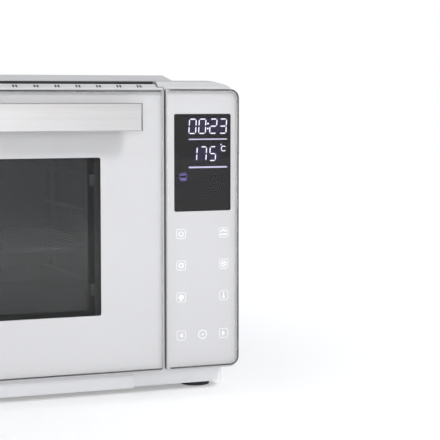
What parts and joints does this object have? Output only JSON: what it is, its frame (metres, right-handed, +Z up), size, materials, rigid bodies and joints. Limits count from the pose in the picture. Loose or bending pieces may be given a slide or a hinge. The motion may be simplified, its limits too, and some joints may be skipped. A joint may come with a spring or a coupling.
{
  "type": "electric countertop oven",
  "caption": "Free-standing electric steam and convection oven with a drop-down glass door, touch control column, pull-out drip tray and lift-out water tank.",
  "frame": {"origin": "middle of the footprint, on the worktop under the feet", "axes": "+X to the right as seen by someone using the oven, +Y to the rear, +Z up"},
  "size_m": [0.49, 0.433, 0.335],
  "materials": {
    "casing_paint": "satin light silver-white paint",
    "lid_plastic": "satin, matched to the casing",
    "bezel_plastic": "fine satin silver-white",
    "plinth_plastic": "satin silver-white",
    "tray_plastic": "satin silver-white",
    "trim_metal": "polished edge trim",
    "front_glass": "clear polished",
    "mask_print": "white back print",
    "pane": "clear heat-reflecting",
    "handle_steel": "long brushed grain",
    "bright_wire": "bright plated",
    "fastener": "zinc plated",
    "cavity_steel": "satin stainless",
    "sheet_steel": "galvanised",
    "inner_door_steel": "dark enamel",
    "heater_steel": "heat-tinted tube",
    "wheel_metal": "plain",
    "motor_metal": "plain",
    "black_plastic": "fine black texture",
    "foot_rubber": "matt",
    "seal_rubber": "silicone",
    "hose_rubber": "milky silicone",
    "circuit": "coated laminate",
    "wool": "mineral wool",
    "clear_plastic": "clear",
    "well_plastic": "grey moulding"
  },
  "bodies": {
    "root": {"base_pan": "sheet_steel", "plinth": "plinth_plastic", "feet": "foot_rubber", "tray_guides": "black_plastic", "outer_casing": "casing_paint", "rear_panel": "sheet_steel", "rear_screws": "fastener", "rear_buffers": "black_plastic", "cord_gland": "black_plastic", "front_frame": "sheet_steel", "hinge_brackets": "fastener", "door_seal": "seal_rubber", "door_switch": "black_plastic", "cavity_liner": "cavity_steel", "insulation_blanket": "wool", "shelf_rails": "bright_wire", "grill_element": "heater_steel", "fan_chamber": "cavity_steel", "fan_baffle": "cavity_steel", "ring_heater": "heater_steel", "convection_motor": "motor_metal", "lamp_socket": "cavity_steel", "lamp_glass": "pane", "steam_nozzle": "cavity_steel", "temperature_probe": "cavity_steel", "blower_shelf": "sheet_steel", "blower_housing": "black_plastic", "blower_motor": "motor_metal", "exhaust_duct": "black_plastic", "partition": "sheet_steel", "power_board": "circuit", "steam_generator": "wheel_metal", "water_pump": "black_plastic", "hoses": "hose_rubber", "tank_well": "well_plastic", "control_trim": "trim_metal", "control_glass": "front_glass", "control_mask": "mask_print", "control_housing": "bezel_plastic", "display_module": "black_plastic", "touch_board": "circuit", "control_board": "circuit"},
    "door": {"door_trim": "trim_metal", "door_glass": "front_glass", "door_mask": "mask_print", "door_frame": "bezel_plastic", "door_inner_panel": "inner_door_steel", "inner_glass": "pane", "glass_clips": "fastener", "handle_bar": "handle_steel", "handle_posts": "bright_wire", "handle_screws": "fastener", "hinge_pins": "fastener"},
    "drip_tray": {"drip_tray": "tray_plastic"},
    "water_tank": {"water_tank": "clear_plastic"},
    "tank_lid": {"tank_lid": "lid_plastic"},
    "convection_fan": {"convection_fan": "wheel_metal"},
    "blower_rotor": {"blower_rotor": "black_plastic"},
    "wire_rack": {"wire_rack": "bright_wire"},
    "baking_pan": {"baking_pan": "cavity_steel"}
  },
  "joints": [
    {"name": "door_hinge", "type": "hinge", "parent": "root", "child": "door", "pos_m": [-0.042, -0.176, 0.042], "axis": [1, 0, 0], "range_deg": [0, 90]},
    {"name": "drip_tray_slide", "type": "slide", "parent": "root", "child": "drip_tray", "axis": [0, -1, 0], "range_m": [0, 0.1]},
    {"name": "water_tank_lift", "type": "slide", "parent": "root", "child": "water_tank", "axis": [0, 0, 1], "range_m": [0, 0.17]},
    {"name": "tank_lid_lift", "type": "slide", "parent": "water_tank", "child": "tank_lid", "axis": [0, 0, 1], "range_m": [0, 0.04]},
    {"name": "convection_fan_spin", "type": "hinge", "parent": "root", "child": "convection_fan", "pos_m": [-0.042, 0.1385, 0.172], "axis": [0, 1, 0], "continuous": true},
    {"name": "blower_spin", "type": "hinge", "parent": "root", "child": "blower_rotor", "pos_m": [-0.01, 0.0275, 0.2847], "axis": [0, 0, 1], "continuous": true},
    {"name": "wire_rack_slide", "type": "slide", "parent": "root", "child": "wire_rack", "axis": [0, -1, 0], "range_m": [0, 0.008]},
    {"name": "baking_pan_slide", "type": "slide", "parent": "root", "child": "baking_pan", "axis": [0, -1, 0], "range_m": [0, 0.008]}
  ]
}
